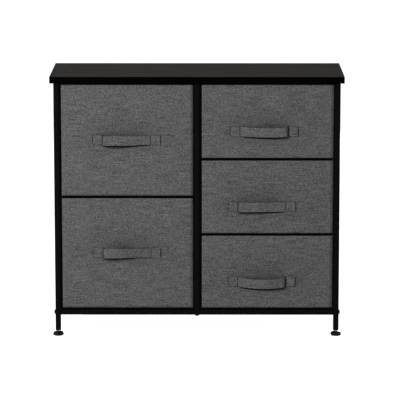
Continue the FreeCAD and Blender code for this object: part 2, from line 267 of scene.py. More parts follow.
def nonWovenMaterial():
    # spun-bonded polypropylene: flat felt with a grid of heat-pressed bond points
    material, tree, shader = startMaterial("spunbondPolypropylene", nonWoven["colour"],
                                           roughness=0.95, specular=0.04)
    uv = clothPlace(tree)
    turned = addNode(tree, "ShaderNodeMapping", {"Rotation": (0, 0, math.radians(45))}, {0: uv}).outputs[0]
    points = addNode(tree, "ShaderNodeTexVoronoi", {"Scale": 1 / nonWoven["dot"], "Randomness": 0.15},
                     {"Vector": turned}).outputs["Distance"]
    pressed = spread(tree, points, low=0.18, high=0.34)
    fibres = addNoise(tree, uv, 1 / nonWoven["fibre"], detail=4.0, more={"Distortion": 1.5})
    tone = addMath(tree, "MULTIPLY", pressed, fibres)
    colour = mixColours(tree, nonWoven["dark"], nonWoven["light"], tone)
    tree.links.new(colour, shader.inputs["Base Color"])
    raiseSurface(tree, shader, strength=0.5, distance=nonWoven["bump"], height=tone)
    return material


def tapeMaterial():
    # woven polyester binding tape: dull black, with fine ribs
    material, tree, shader = startMaterial("wovenBindingTape", "#070707", roughness=0.95, specular=0.02)
    ribs = addNoise(tree, clothPlace(tree), scale=1 / (0.8 * mm), detail=2.0)
    tree.links.new(mixColours(tree, "#030303", "#0b0b0b", ribs), shader.inputs["Base Color"])
    raiseSurface(tree, shader, strength=0.3, distance=0.1 * mm, height=ribs)
    return material


def powderCoatMaterial():
    # polyester powder coat on steel: satin black with a fine orange peel
    material, tree, shader = startMaterial("powderCoatedSteel", "#080808", roughness=0.42, specular=0.02)
    place = objectPlace(tree)
    peel = addNoise(tree, place, scale=1 / (1.6 * mm), detail=2.0)
    cloud = addNoise(tree, place, scale=14.0, detail=2.0)
    tree.links.new(mixColours(tree, "#050505", "#0b0b0b", cloud), shader.inputs["Base Color"])
    varyRoughness(tree, shader, smooth=0.36, rough=0.5, share=cloud)
    raiseSurface(tree, shader, strength=0.25, distance=0.08 * mm, height=peel)
    return material


def laminateMaterial(name, dark, light, specular):
    # paper laminate printed and pressed as black-brown oak: matt, with long level grain
    material, tree, shader = startMaterial(name, dark, roughness=0.72, specular=specular)
    place = objectPlace(tree)
    # the finer of two noises, both drawn out along the board, stands for the pores of the wood
    grainRun = addNode(tree, "ShaderNodeMapping", {"Scale": (5.0, 110.0, 110.0)}, {0: place}).outputs[0]
    grain = addNoise(tree, grainRun, scale=1.0, detail=5.0, more={"Roughness": 0.65, "Distortion": 0.4})
    poreRun = addNode(tree, "ShaderNodeMapping", {"Scale": (28.0, 700.0, 700.0)}, {0: place}).outputs[0]
    pores = addNoise(tree, poreRun, scale=1.0, detail=2.0)
    mixed = mixValues(tree, share=0.35, first=grain, second=pores)
    colour = mixColours(tree, dark, light, spread(tree, mixed, low=0.3, high=0.7))
    tree.links.new(colour, shader.inputs["Base Color"])
    raiseSurface(tree, shader, strength=0.35, distance=0.1 * mm, height=mixed)
    return material


def mouldedMaterial():
    # injection-moulded nylon: black, slightly glossy, with a faint moulding texture
    material, tree, shader = startMaterial("mouldedNylon", "#0a0a0a", roughness=0.32, specular=0.07)
    grain = addNoise(tree, objectPlace(tree), scale=1 / (0.9 * mm), detail=3.0)
    tree.links.new(mixColours(tree, "#080808", "#0e0e0e", grain), shader.inputs["Base Color"])
    varyRoughness(tree, shader, smooth=0.24, rough=0.4, share=grain)
    raiseSurface(tree, shader, strength=0.2, distance=0.05 * mm, height=grain)
    return material


def platedMaterial(name, dark, light, roughness):
    # plated or blackened steel: bright or dark metal, cloudy where the plating is uneven
    material, tree, shader = startMaterial(name, light, roughness, specular=0.5, metallic=1.0)
    cloud = addNoise(tree, objectPlace(tree), scale=260.0, detail=3.0)
    tree.links.new(mixColours(tree, dark, light, cloud), shader.inputs["Base Color"])
    varyRoughness(tree, shader, smooth=roughness - 0.08, rough=roughness + 0.1, share=cloud)
    return material


def fibreboardMaterial():
    # hardboard: brown pressed wood fibre
    material, tree, shader = startMaterial("pressedFibreboard", "#7a5f43", roughness=0.8, specular=0.3)
    fibres = addNoise(tree, objectPlace(tree), scale=350.0, detail=5.0, more={"Distortion": 1.0})
    tree.links.new(mixColours(tree, "#5d452e", "#8f7354", fibres), shader.inputs["Base Color"])
    raiseSurface(tree, shader, strength=0.3, distance=0.1 * mm, height=fibres)
    return material


def threadMaterial(name, dark, light):
    # spun polyester sewing thread, finely twisted and dull
    material, tree, shader = startMaterial(name, dark, roughness=0.8, specular=0.1)
    twist = addNoise(tree, objectPlace(tree), scale=900.0, detail=2.0)
    tree.links.new(mixColours(tree, dark, light, twist), shader.inputs["Base Color"])
    return material


linenCloth = linenMaterial("wovenLinenLook")
spunbond = nonWovenMaterial()
bindingTape = tapeMaterial()
powderCoat = powderCoatMaterial()
laminate = laminateMaterial("pressedLaminate", "#0e0d0c", "#42403d", specular=0.01)
edgeBanding = laminateMaterial("extrudedEdgeBand", "#020202", "#050504", specular=0.003)
nylon = mouldedMaterial()
zinc = platedMaterial("zincPlatedSteel", "#a2a29e", "#c6c6c2", roughness=0.3)
blackOxide = platedMaterial("blackOxideSteel", "#191919", "#2a2a2a", roughness=0.42)
fibreboard = fibreboardMaterial()
greyThread = threadMaterial("greySewingThread", "#3c3c3d", "#545455")
# dark thread that also paints shade at the strap's notch and along its outline
darkThreadShade = threadMaterial("darkSewingThreadShade", "#1c1c1d", "#2a2a2b")

slotMaterials = {
    "laminated_board": laminate, "edge_band_plastic": edgeBanding, "powder_coated_steel": powderCoat,
    "blackened_steel": blackOxide, "zinc_steel": zinc, "black_plastic": nylon,
    "drawer_fabric": spunbond, "fibreboard": fibreboard,
}
for part in frame["record"]["subparts"]:
    mesh = nodes[part["node"]].data
    mesh.materials.clear()
    mesh.materials.append(slotMaterials[part["material_slot"]])


# Tabletop
print("tabletop")

tabletop = {"boardEdge": 0.3 * mm, "bandEdge": 1.0 * mm}


def makeTabletop():
    low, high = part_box("tabletop")
    board = boxBmesh(low, high)
    roundEdges(board, board.edges[:], tabletop["boardEdge"], segments=1)
    finishPiece(board, "tabletop_board", laminate, "frame", ["tabletop"])

    bandLow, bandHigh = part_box("tabletop_edge_band")
    band = boxBmesh(bandLow, bandHigh)
    ends = [face for face in band.faces if abs(face.normal.z) > 0.5]
    bmesh.ops.inset_individual(band, faces=ends, thickness=low.x - bandLow.x, use_even_offset=True)
    loops = [edge for face in ends for edge in face.edges]
    bmesh.ops.delete(band, geom=ends, context="FACES_ONLY")
    bmesh.ops.bridge_loops(band, edges=loops)
    outer = [edge for edge in band.edges if isSharp(edge)
             and all(abs(v.co.x) > high.x + mm or abs(v.co.y) > high.y + mm for v in edge.verts)]
    roundEdges(band, outer, tabletop["bandEdge"], segments=3)
    bmesh.ops.recalc_face_normals(band, faces=band.faces[:])
    finishPiece(band, "tabletop_band", edgeBanding, "frame", ["tabletop_edge_band"])


makeTabletop()


# Welds
print("welds")

weld = {
    "barBead": 1.6 * mm, "barOut": 0.8 * mm, "barUp": 0.1 * mm,  # in the groove between bar and runner
    "footBead": 1.0 * mm, "footIn": 0.5 * mm, "footOut": 15.5 * mm,  # under a runner's end, on the rail
    "step": 1.5 * mm,
}


def weldRow(bm, radius, start, end):
    # a row of overlapping beads, as a welding torch leaves them
    count = max(2, round((end - start).length / weld["step"]))
    stride = (end - start) / count
    ball = bmesh.new()
    firstPlace = Matrix.Translation(start + stride / 2)
    bmesh.ops.create_uvsphere(ball, u_segments=8, v_segments=6, radius=radius, matrix=firstPlace)
    bead = bpy.data.meshes.new("bead")
    ball.to_mesh(bead)
    ball.free()
    for _ in range(count):
        bm.from_mesh(bead)
        bead.transform(Matrix.Translation(stride))
    bpy.data.meshes.remove(bead)


def makeWelds():
    # the lowest runners are welded to the bars beside them and to the rails under their ends
    railLow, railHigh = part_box("rear_bottom_rail")
    runnerLow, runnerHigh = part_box("right_runners")
    barLevel = railHigh.z + weld["barUp"]
    footLevel = (railHigh.z + runnerLow.z) / 2
    bm = bmesh.new()
    for side in (-1, 1):
        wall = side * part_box("right_crossbars")[0].x
        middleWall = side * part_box("middle_crossbars")[1].x
        bar = wall + side * weld["barOut"]
        weldRow(bm, weld["barBead"], Vector((bar, -railLow.y, barLevel)), Vector((bar, railLow.y, barLevel)))
        for y in (-runnerHigh.y, runnerHigh.y):
            for inner, out in ((wall, -side), (middleWall, side)):
                weldRow(bm, weld["footBead"], Vector((inner + out * weld["footIn"], y, footLevel)),
                        Vector((inner + out * weld["footOut"], y, footLevel)))
    finishPiece(bm, "weld_beads", powderCoat, "frame", creaseAngle=60)


makeWelds()


# Drawer bags and front panels
print("drawers")

bag = {
    "panelThick": 0.5 * mm,     # front panel's cloth
    "clothThick": 0.4 * mm,     # skin and lining
    "wallX": 3.6 * mm,          # side walls, with their board
    "wallY": 4.6 * mm,          # front and rear walls
    "floor": 4.6 * mm,
    "corner": 0.9 * mm,         # small enough to cover the sharp corners of the boards inside
    "rim": 0.9 * mm,
    "longEdge": 50 * mm,        # longer edges are the bag's own, shorter ones belong to its roundings
    "cuts": 34,
    "nearFace": 0.5 * mm,       # cloth this near to the outside of the bag's box is eased
    # the bag's cloth left showing beside and below the front panel; its near-black tape also paints the shade
    # of the gaps between the drawers
    "edgeLeft": 4.4 * mm, "edgeRight": 1.8 * mm, "edgeBelow": 3.0 * mm,
    "tapeReach": 1.2 * mm,      # binding tape of these margins, back from the front
    "wrap": 5.2 * mm,           # front panel's turn over the rim, to the inner face of its wall
    "turnIn": 22 * mm,          # and down the inside
    "piping": 1.1 * mm,         # radius of the cord sewn into the seam round the front
    "pipingOut": 0.25 * mm, "pipingAhead": 0.6 * mm, "pipingTurn": 7 * mm,
    "pipingSides": 10, "pipingArc": 6,
    # bound seams at the rear corners, above the runners and below the upper bars of the frame
    "seamIn": 1 * mm, "seamOut": 4.4 * mm, "seamThick": 2 * mm, "seamAbove": 13.8 * mm, "seamTop": 683 * mm,
    "seamBack": 0.2 * mm,       # from the rear of the drawer's box to the seam
    "seamRound": 0.3 * mm,
    "seamEar": 2.3 * mm,        # end of the seam that stands up past the rim
    "seamFlat": 0.3 * mm,       # beside the runner the same seam is pressed flat
    "seamBelow": 4 * mm, "seamFoot": 14.8 * mm,  # the lower rear seam, between the feet of the runners
    "bulge": 1.6 * mm,          # fullest place of the front panel
    "held": 0.85,               # share of the bulge that the sewn handle holds back, and its reach
    "heldWide": 75 * mm, "heldHigh": 38 * mm,
    "wave": 0.35 * mm, "waveLength": 95 * mm,
    "rearWave": 0.4,            # of the waves at the front and sides, because the rear is stretched tighter
}

# painted shade round the strap: a wide fan above and below it, and a darker core close to it
paintedHandleShade = {
    "above": 110 * mm, "below": 60 * mm,
    "fan": 0.27, "fanWide": 105 * mm, "fanFade": 1.5,
    "core": 0.16, "coreWide": 62 * mm, "coreFade": 5,
}

strap = {
    "width": 28 * mm, "thick": 2.2 * mm, "patch": 29 * mm, "length": 186 * mm,
    "samples": 84, "rows": 6,
    "rise": 0.07, "land": 0.2,  # shares of its length in which it comes loose at the notch and lies down
    "leanOver": 0.7,            # share of the loop in which one end's lean goes over to the other's
    "cup": 0.5,                 # how much nearer to the drawer both edges are than the middle, in mm
    "sagCurve": 0.7,
    "clothRun": 0.55,           # stretches the cloth's pattern a little along the strap
    # painted shadow: black tape behind the loop, showing below it where the loop's shadow falls
    "shadowTapeBehind": 1.7 * mm, "shadowTapeBelow": 2.7 * mm, "shadowTapeThick": 0.7 * mm,
    "shadowTapeShare": 0.6,        # share of the room behind the strap that the shadow tape may take up
    "shadowTapeFull": 3 * mm,      # room from which on it hangs down fully
    "shadowTapeShort": 1 * mm,     # its end is this far inside the patch's
}

# notch: the end that stands up steeply from its stitches. peak: share of the loop from that end
# at which it stands out furthest. lean: how much more its upper edge stands out than its lower one,
# at the notch and at the other end, because a loose strap is a little twisted.
handlePlans = {
    "left_top_drawer": {"notch": -1, "peak": 0.22, "out": 13.5, "droop": 1.5, "lean": (-7.0, 5.0)},
    "left_bottom_drawer": {"notch": -1, "peak": 0.26, "out": 13.5, "droop": 0.5, "lean": (-3.0, 9.5)},
    "right_top_drawer": {"notch": 1, "peak": 0.30, "out": 13, "droop": 2.5, "lean": (1.0, 2.5)},
    "right_middle_drawer": {"notch": -1, "peak": 0.40, "out": 11, "droop": 0.0, "lean": (1.5, 2.0)},
    "right_bottom_drawer": {"notch": 1, "peak": 0.28, "out": 13.5, "droop": 6.0, "lean": (3.5, 2.0)},
}


def smoothStep(value):
    value = max(0.0, min(1.0, value))
    return value * value * (3 - 2 * value)


def bagBmesh(low, high):
    # a closed wall of even thickness round the boards: outside, rim, inside
    bm = boxBmesh(low, high)
    top = max(bm.faces, key=lambda face: face.calc_center_median().z)
    bmesh.ops.inset_individual(bm, faces=[top], thickness=bag["wallX"], use_even_offset=True)
    middle = (low.y + high.y) / 2
    for vert in top.verts:
        vert.co.y -= math.copysign(bag["wallY"] - bag["wallX"], vert.co.y - middle)
    moved = bmesh.ops.extrude_face_region(bm, geom=[top])["geom"]
    inside = [v for v in moved if isinstance(v, bmesh.types.BMVert)]
    bmesh.ops.translate(bm, verts=inside, vec=(0, 0, low.z + bag["floor"] - high.z))
    # the extrusion leaves the first face behind, as a lid
    bmesh.ops.delete(bm, geom=[top], context="FACES_ONLY")
    rim = [e for e in bm.edges if isSharp(e) and all(abs(v.co.z - high.z) < 0.001 * mm for v in e.verts)]
    roundEdges(bm, rim, bag["rim"], segments=3)
    corners = [e for e in bm.edges if isSharp(e) and e.calc_length() > bag["longEdge"]]
    roundEdges(bm, corners, bag["corner"], segments=4)
    longOnes = [e for e in bm.edges if e.calc_length() > bag["longEdge"]]
    bmesh.ops.subdivide_edges(bm, edges=longOnes, cuts=bag["cuts"], use_grid_fill=True)
    bmesh.ops.recalc_face_normals(bm, faces=bm.faces[:])
    return bm


def edgeFade(share):
    # 0 at both edges of a cloth face, 1 from a quarter of the way in
    return smoothStep(4 * min(share, 1 - share))


def easeCloth(bm, low, high, handle):
    # cloth over a board: full between its edges, a little uneven, held back where the handle is sewn
    size = high - low
    near = bag["nearFace"]
    for vert in bm.verts:
        x, y, z = vert.co
        u = (x - low.x) / size.x
        v = (y - low.y) / size.y
        w = (z - low.z) / size.z
        uneven = noise.noise(vert.co / bag["waveLength"]) * bag["wave"]
        if y < low.y + near:
            full = bag["bulge"] * edgeFade(u) * edgeFade(w)
            dx = (x - handle.x) / bag["heldWide"]
            dz = (z - handle.z) / bag["heldHigh"]
            held = 1 - bag["held"] * math.exp(-dx * dx - dz * dz)
            vert.co.y -= max(0.0, full * held + (uneven + bag["wave"]) * edgeFade(u) * edgeFade(w))
        elif y > high.y - near:
            vert.co.y += (uneven + bag["wave"]) * bag["rearWave"] * edgeFade(u) * edgeFade(w)
        elif x < low.x + near or x > high.x - near:
            vert.co.x += math.copysign((uneven + bag["wave"]) * edgeFade(v) * edgeFade(w), u - 0.5)


def paintedHandleShadeShare(co, handle):
    # how much painted shade darkens the cloth at a place near the handle
    up = co.z - handle.z
    fade = max(0.0, 1 - abs(up) / (paintedHandleShade["above"] if up > 0 else paintedHandleShade["below"]))
    wide = (co.x - handle.x) / paintedHandleShade["fanWide"]
    near = (co.x - handle.x) / paintedHandleShade["coreWide"]
    fan = paintedHandleShade["fan"] * fade ** paintedHandleShade["fanFade"] * math.exp(-wide * wide)
    return fan + paintedHandleShade["core"] * fade ** paintedHandleShade["coreFade"] * math.exp(-near ** 4)


def thicken(piece, name, thickness, offset):
    # cloth is modelled as a single surface and gets its thickness last
    added = piece.modifiers.new(name, "SOLIDIFY")
    added.thickness = thickness
    added.offset = offset
    return added


def makeDrawer(name):
    low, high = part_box(name + "_cover")
    strapLow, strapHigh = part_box(name + "_handle")
    handle = (strapLow + strapHigh) / 2
    skin = Vector([bag["panelThick"]] * 3)
    bm = bagBmesh(low + skin, high - skin)
    easeCloth(bm, low + skin, high - skin, handle)

    # four planes cut the front panel out of the bag, a fifth only marks how far it is turned in
    panel = bm.copy()
    turned = high.z - bag["turnIn"]
    cuts = [((0, low.y + bag["wrap"], 0), (0, 1, 0), True),
            ((low.x + bag["edgeLeft"], 0, 0), (-1, 0, 0), True),
            ((high.x - bag["edgeRight"], 0, 0), (1, 0, 0), True),
            ((0, 0, low.z + bag["edgeBelow"]), (0, 0, -1), True),
            ((0, 0, turned), (0, 0, 1), False)]
    for place, outwards, cleared in cuts:
        everything = panel.verts[:] + panel.edges[:] + panel.faces[:]
        bmesh.ops.bisect_plane(panel, geom=everything, plane_co=place, plane_no=outwards, clear_outer=cleared)
    innerLow = low + Vector((bag["wallX"], bag["wallY"], bag["floor"]))
    innerHigh = high - Vector((bag["wallX"], 0, 0))
    cavity = []
    for face in panel.faces:
        co = face.calc_center_median()
        between = innerLow.x - mm < co.x < innerHigh.x + mm and innerLow.z - mm < co.z < turned
        if between and co.y > innerLow.y - mm:
            cavity.append(face)
    bmesh.ops.delete(panel, geom=cavity, context="FACES")
    clothUv(panel)
    clothUv(bm)
    # painted shade round the handle, kept on each vertex for the cloth's material
    paintedShade = panel.verts.layers.float.new("paintedHandleShade")
    for vert in panel.verts:
        vert[paintedShade] = paintedHandleShadeShare(vert.co, handle)

    for face in bm.faces:          # the margins beside the front panel are bound in near-black tape, which paints the shade of the gaps between drawers
        face.material_index = int(face.calc_center_median().y < low.y + bag["tapeReach"])

    surface = BVHTree.FromBMesh(panel)
    body = finishPiece(bm, name + "_bag", [spunbond, bindingTape], name, [name + "_cover"])
    thicken(body, "clothThickness", bag["clothThick"], -1)
    front = finishPiece(panel, name + "_front_panel", linenCloth, name)
    thicken(front, "clothThickness", bag["panelThick"], 1)
    makePiping(name, low, high)
    makeRearSeams(name, low, high)
    return surface, handle


def cordBmesh(path, radius, sides):
    # a round cord along a path that lies in an upright plane facing the front
    bm = bmesh.new()
    rings = []
    last = len(path) - 1
    for i, point in enumerate(path):
        ahead = (path[min(i + 1, last)] - path[max(i - 1, 0)]).normalized()
        across = Vector((0, 1, 0))
        turned = Matrix((across, ahead.cross(across), ahead)).transposed().to_4x4()
        made = bmesh.ops.create_circle(bm, cap_ends=i in (0, last), segments=sides, radius=radius,
                                       matrix=Matrix.Translation(point) @ turned)
        rings.append(list({edge for vert in made["verts"] for edge in vert.link_edges}))
    for one, other in zip(rings, rings[1:]):
        bmesh.ops.bridge_loops(bm, edges=one + other)
    bmesh.ops.recalc_face_normals(bm, faces=bm.faces[:])
    return bm


def makePiping(name, low, high):
    # piping down both sides of the front and under it, where the bag's cloths are sewn together
    out, turn = bag["pipingOut"], bag["pipingTurn"]
    y = low.y - bag["pipingAhead"]
    left, right, below = low.x - out, high.x + out, low.z
    path = [Vector((left, y, high.z)), Vector((left, y, below + turn))]
    arc = [math.radians(90 / bag["pipingArc"] * i) for i in range(bag["pipingArc"] + 1)]
    for angle in arc[1:]:
        path.append(Vector((left + turn - turn * math.cos(angle), y, below + turn - turn * math.sin(angle))))
    for angle in arc[:-1]:
        path.append(Vector((right - turn + turn * math.sin(angle), y, below + turn - turn * math.cos(angle))))
    path += [Vector((right, y, below + turn)), Vector((right, y, high.z))]
    bm = cordBmesh(path, bag["piping"], bag["pipingSides"])
    clothUv(bm)
    finishPiece(bm, name + "_piping", bindingTape, name)


def makeRearSeams(name, low, high):
    # the seam allowance of each rear corner, bound and standing out past the side of the bag
    bm = bmesh.new()
    knee, top = low.z + bag["seamAbove"], min(high.z + bag["seamEar"], bag["seamTop"])
    middleX = (low.x + high.x) / 2
    middleY = high.y - bag["seamThick"] / 2 - bag["seamBack"]
    reach = (high.x - low.x) / 2 - bag["seamFoot"]
    boxes = [(middleX - reach, middleX + reach, low.z - bag["seamBelow"], low.z + mm)]
    for side, corner in ((-1, low.x), (1, high.x)):
        inner = corner - side * bag["seamIn"]
        boxes.append((inner, corner + side * bag["seamOut"], knee, top))
        boxes.append((inner, corner + side * bag["seamFlat"], low.z + bag["corner"], knee + mm))
    for start, end, bottom, upper in boxes:
        centre = Matrix.Translation(((start + end) / 2, middleY, (bottom + upper) / 2))
        size = Matrix.Diagonal((abs(end - start), bag["seamThick"], upper - bottom, 1))
        bmesh.ops.create_cube(bm, size=1, matrix=centre @ size)
    roundEdges(bm, bm.edges[:], bag["seamRound"], segments=2)
    clothUv(bm)
    finishPiece(bm, name + "_rear_seams", bindingTape, name)


def smoothPath(points, count):
    # rounds a row of points: short curves between the middles of its legs, evenly sampled
    points = [Vector(p) for p in points]
    middles = [points[0]] + [(a + b) / 2 for a, b in zip(points[1:-2], points[2:-1])] + [points[-1]]
    dense = []
    for i, knee in enumerate(points[1:-1]):
        start, end = middles[i], middles[i + 1]
        pulls = start.lerp(knee, 2 / 3), end.lerp(knee, 2 / 3)
        dense += geometry.interpolate_bezier(start, *pulls, end, 24)[:-1]
    dense.append(points[-1])
    lengths = [0.0]
    for a, b in zip(dense, dense[1:]):
        lengths.append(lengths[-1] + (b - a).length)
    even = []
    k = 0
    for i in range(count):
        want = lengths[-1] * i / (count - 1)
        while k < len(lengths) - 2 and lengths[k + 1] < want:
            k += 1
        share = (want - lengths[k]) / max(1e-9, lengths[k + 1] - lengths[k])
        even.append(dense[k].lerp(dense[k + 1], max(0.0, min(1.0, share))))
    return even


def strapPath(plan):
    # seen from above, from the notched end: distance along the drawer and out from it, in mm
    length, patch = strap["length"] / mm, strap["patch"] / mm
    loop = length - 2 * patch
    flat = strap["thick"] / mm / 2
    peak = patch + loop * plan["peak"]
    points = [
        (0, flat), (patch - 6, flat + 0.3), (patch - 2.5, flat + 0.9), (patch - 0.6, flat + 0.4),
        (patch + 0.6, flat), (patch + 2.0, flat + 1.2), (patch + 0.9, 5.0), (patch + 0.6, 7.5),
        (patch + 2.5, plan["out"] - 3), (patch + 8, plan["out"] - 1.2), (peak, plan["out"]),
        (patch + loop * 0.66, plan["out"] * 0.62), (length - patch - 10, 3.6),
        (length - patch - 2, flat + 0.3), (length - patch + 2, flat), (length, flat),
    ]
    return smoothPath([(x, out, 0) for x, out in points], strap["samples"])


def makeShadowTape(name, bm, clear, handle):
    # painted shadow: black tape behind the loop of the strap, showing a little below it as the dark line of
    # the loop's shadow
    bm.verts.ensure_lookup_table()
    for vert in bm.verts:
        vert.co.y += min(strap["shadowTapeBehind"], clear[vert.index] * strap["shadowTapeShare"])
        vert.co.z -= strap["shadowTapeBelow"] * min(1.0, clear[vert.index] / strap["shadowTapeFull"])
    reach = strap["length"] / 2 - strap["patch"] - strap["shadowTapeShort"]
    sewn = [face for face in bm.faces if abs(face.calc_center_median().x - handle.x) > reach]
    bmesh.ops.delete(bm, geom=sewn, context="FACES")
    tape = finishPiece(bm, name + "_strap_shadow_tape", bindingTape, name, creaseAngle=180)
    thicken(tape, "tapeThickness", strap["shadowTapeThick"], 0)


def makeStrap(name, plan, surface, handle):
    path = strapPath(plan)
    length = strap["length"]
    patchShare = strap["patch"] / length
    bm = bmesh.new()
    bmesh.ops.create_grid(bm, x_segments=strap["samples"] - 1, y_segments=strap["rows"], size=1)
    layer = bm.loops.layers.uv.new("clothUv")
    flat = {vert: vert.co.copy() for vert in bm.verts}
    clear = {}                     # room behind each point of the strap
    bm.verts.index_update()
    for vert in bm.verts:
        along = (vert.co.x + 1) / 2 * (strap["samples"] - 1)
        i = min(int(along), strap["samples"] - 2)
        x, out, _ = path[i].lerp(path[i + 1], along - i)
        side = vert.co.y           # -1 at the lower edge, 1 at the upper
        share = x * mm / length
        loose = (smoothStep((share - patchShare) / strap["rise"])
                 * smoothStep((1 - patchShare - share) / strap["land"]))
        loopShare = min(1, max(0, (share - patchShare) / (1 - 2 * patchShare)))
        start, end = plan["lean"]
        lean = start + (end - start) * smoothStep(loopShare / strap["leanOver"])
        out += loose * (lean * side / 2 - strap["cup"] * side * side)
        sag = plan["droop"] * mm * math.sin(math.pi * loopShare) ** strap["sagCurve"]
        px = handle.x - plan["notch"] * (x * mm - length / 2)
        pz = handle.z + side * strap["width"] / 2 - sag
        hit = surface.ray_cast(Vector((px, -1, pz)), Vector((0, 1, 0)))[0]
        vert.co = Vector((px, hit.y - bag["panelThick"] - out * mm, pz))
        clear[vert.index] = max(0.0, out * mm - strap["thick"] / 2)
    for face in bm.faces:
        for loop in face.loops:
            co = flat[loop.vert]
            loop[layer].uv = (co.x * length * strap["clothRun"] + handle.x,
                              handle.z + co.y * strap["width"] / 2)
    bm.normal_update()
    if sum(face.normal.y for face in bm.faces) > 0:
        bmesh.ops.reverse_faces(bm, faces=bm.faces[:])
    makeShadowTape(name, bm.copy(), clear, handle)
    piece = finishPiece(bm, name + "_strap", [linenCloth, darkThreadShade], name,
                        [name + "_handle"], creaseAngle=180)
    doubled = thicken(piece, "foldedCloth", strap["thick"], 0)
    doubled.material_offset_rim = 1     # edges overlocked in dark thread, which also paints the shade along the strap's outline
    softened = piece.modifiers.new("softEdges", "SUBSURF")
    softened.levels = 1
    softened.render_levels = 1


stitch = {
    "length": 3.2 * mm, "gap": 1.4 * mm, "thick": 0.5 * mm, "hem": 8 * mm, "inset": 3.5 * mm,
    "lift": 0.2,            # share of its thickness that the middle of a stitch lies above the cloth
}
shadeBarTack = {
    "wide": 2.8 * mm, "thin": 1.8 * mm, "end": 1.0 * mm, "thick": 0.9 * mm, "short": 0.8 * mm,
    "past": 0.6,            # share of its width that the wide one lies past the patch
    "round": 0.4,           # share of its thickness
    "notchShadeLift": 0.8 * mm,      # the bar at the notch sits this much further out, over the strap's ripple, so that its dark thread paints the notch's shade
}


def makeOneStitch():
    # a single stitch along X, copied into every row
    bm = bmesh.new()
    size = Matrix.Diagonal((stitch["length"] / 2, stitch["thick"] / 2, stitch["thick"] / 2, 1))
    bmesh.ops.create_uvsphere(bm, u_segments=6, v_segments=4, radius=1, matrix=size)
    mesh = bpy.data.meshes.new("oneStitch")
    bm.to_mesh(mesh)
    bm.free()
    return mesh


def addStitches(bm, start, end, surface, out):
    # a row of stitches between two points (x, z) on a drawer's front, lying on the cloth
    run = end - start
    count = max(1, round(run.length / (stitch["length"] + stitch["gap"])))
    turned = Matrix.Rotation(-math.atan2(run.y, run.x), 4, "Y")
    for i in range(count):
        place = start.lerp(end, (i + 0.5) / count)
        hit = surface.ray_cast(Vector((place.x, -1, place.y)), Vector((0, 1, 0)))[0]
        copied = oneStitch.copy()
        copied.transform(Matrix.Translation((place.x, hit.y - out, place.y)) @ turned)
        bm.from_mesh(copied)
        bpy.data.meshes.remove(copied)


def makeStitching(name, plan, surface, handle):
    low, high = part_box(name + "_cover")
    bm = bmesh.new()
    onCloth = bag["panelThick"] + stitch["thick"] * stitch["lift"]
    left = low.x + bag["edgeLeft"] + stitch["inset"]
    right = high.x - bag["edgeRight"] - stitch["inset"]
    bottom, top = low.z + bag["edgeBelow"] + stitch["inset"], high.z - stitch["hem"]
    corners = [Vector((left, bottom)), Vector((left, top)), Vector((right, top)), Vector((right, bottom))]
    for start, end in zip(corners, corners[1:] + corners[:1]):
        addStitches(bm, start, end, surface, onCloth)
    # a box with a cross in it holds each patch of the handle
    onPatch = onCloth + strap["thick"]
    halfX, halfZ = strap["patch"] / 2 - stitch["inset"], strap["width"] / 2 - stitch["inset"]
    for side in (-1, 1):
        x = handle.x + side * (strap["length"] - strap["patch"]) / 2
        box = [Vector((x - halfX, handle.z - halfZ)), Vector((x - halfX, handle.z + halfZ)),
               Vector((x + halfX, handle.z + halfZ)), Vector((x + halfX, handle.z - halfZ))]
        for start, end in zip(box, box[1:] + box[:1]):
            addStitches(bm, start, end, surface, onPatch)
        addStitches(bm, box[0], box[2], surface, onPatch)
        addStitches(bm, box[1], box[3], surface, onPatch)
    finishPiece(bm, name + "_stitching", greyThread, name)

    # dense bars of dark thread: where the strap turns up steeply, where it comes down flat, and at its ends;
    # they also paint the shade at the notch and along the strap's ends
    tack = bmesh.new()
    inner, end = strap["length"] / 2 - strap["patch"], strap["length"] / 2
    past = shadeBarTack["wide"] * shadeBarTack["past"]
    bars = [(plan["notch"] * (inner + past), shadeBarTack["wide"], shadeBarTack["notchShadeLift"]),
            (-plan["notch"] * (inner + shadeBarTack["thin"]), shadeBarTack["thin"], 0),
            (-end + shadeBarTack["end"], shadeBarTack["end"], 0), (end - shadeBarTack["end"], shadeBarTack["end"], 0)]
    for offset, wide, raised in bars:
        x = handle.x + offset
        hit = surface.ray_cast(Vector((x, -1, handle.z)), Vector((0, 1, 0)))[0]
        centre = Matrix.Translation((x, hit.y - onPatch - raised, handle.z))
        size = (wide, shadeBarTack["thick"], strap["width"] - 2 * shadeBarTack["short"])
        bmesh.ops.create_cube(tack, size=1, matrix=centre @ Matrix.Diagonal((*size, 1)))
    roundEdges(tack, tack.edges[:], shadeBarTack["thick"] * shadeBarTack["round"], segments=3)
    finishPiece(tack, name + "_bar_tacks_painted_shade", darkThreadShade, name)


oneStitch = makeOneStitch()
for drawer in drawers:
    surface, handle = makeDrawer(drawer)
    makeStrap(drawer, handlePlans[drawer], surface, handle)
    makeStitching(drawer, handlePlans[drawer], surface, handle)
bpy.data.meshes.remove(oneStitch)


# Levelling feet
print("feet")

# outline of the pad, radius and height in mm, from the middle of its underside to the stud's hole
padOutline = [
    (0, 0), (11.8, 0), (13.3, 0.5), (14.2, 1.6), (14.6, 3.2), (14.6, 5.6), (14.2, 7.4), (13.2, 8.9),
    (11.6, 10.1), (9.5, 10.8), (7.3, 11.1), (6.0, 11.4), (5.4, 11.7), (4.1, 11.7), (4.1, 3.0), (0, 3.0),
]
padSteps = 48
footThread = {
    "pitch": 1.25 * mm, "depth": 0.62 * mm, "steps": 16,
    "crest": (0.45, 0.55),      # shares of the pitch between which the ridge is at its full height
    "coreSides": 24,
    "sunk": 0.05 * mm,          # how far the ridge's foot lies inside the core
}


